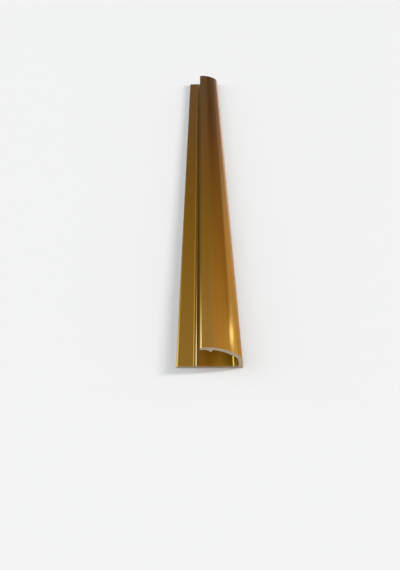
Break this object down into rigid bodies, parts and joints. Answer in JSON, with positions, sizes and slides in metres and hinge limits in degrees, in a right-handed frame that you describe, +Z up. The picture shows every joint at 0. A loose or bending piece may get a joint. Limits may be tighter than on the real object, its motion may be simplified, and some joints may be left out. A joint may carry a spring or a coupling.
{
  "type": "aluminium extrusion profile",
  "caption": "Gold anodised aluminium floor edging bar: flat base plate with low teeth, upright wall and an arched cover with a barb, forming a slot for a floor covering's edge.",
  "frame": {"origin": "middle of the bar's length and width, on the flat underside of the base plate", "axes": "+Y along the bar, +X towards the wall that carries the cover, +Z up"},
  "size_m": [0.038, 0.9, 0.0129],
  "materials": {
    "gold_anodised": "bright gold anodised, with bare sawn ends"
  },
  "bodies": {
    "root": {"edging_bar": "gold_anodised"}
  },
  "joints": []
}
